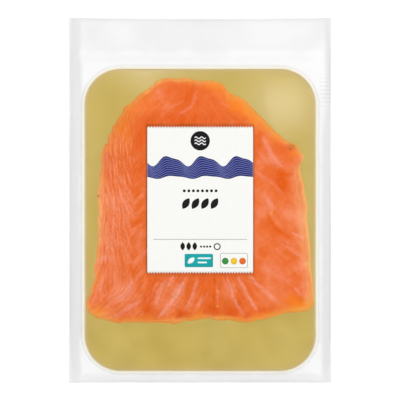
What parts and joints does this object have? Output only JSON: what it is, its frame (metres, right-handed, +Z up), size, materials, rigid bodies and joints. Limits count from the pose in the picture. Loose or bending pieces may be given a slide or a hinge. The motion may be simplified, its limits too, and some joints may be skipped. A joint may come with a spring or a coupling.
{
  "type": "vacuum pack of smoked salmon",
  "caption": "Flat clear pouch with broad thin slices of smoked salmon sealed on a gold card board, and a paper label stuck on the front.",
  "frame": {"origin": "under the middle of the pouch, on the surface that the pack lies on", "axes": "+Z up, out of the label; +Y along the pouch to its wide top margin; +X to the label's right"},
  "size_m": [0.174, 0.2422, 0.0072],
  "materials": {
    "film": "clear glossy vacuum film with soft waves",
    "gold_card": "satin gold laminate on card",
    "salmon": "moist smoked flesh with seams of pale fat",
    "label_paper": "smooth matt white paper",
    "label_ink": "matt print in dark, blue and teal fields"
  },
  "bodies": {
    "root": {"pouch": "film", "board": "gold_card", "lower_slice": "salmon", "top_slice": "salmon", "label": "label_paper"}
  },
  "joints": []
}
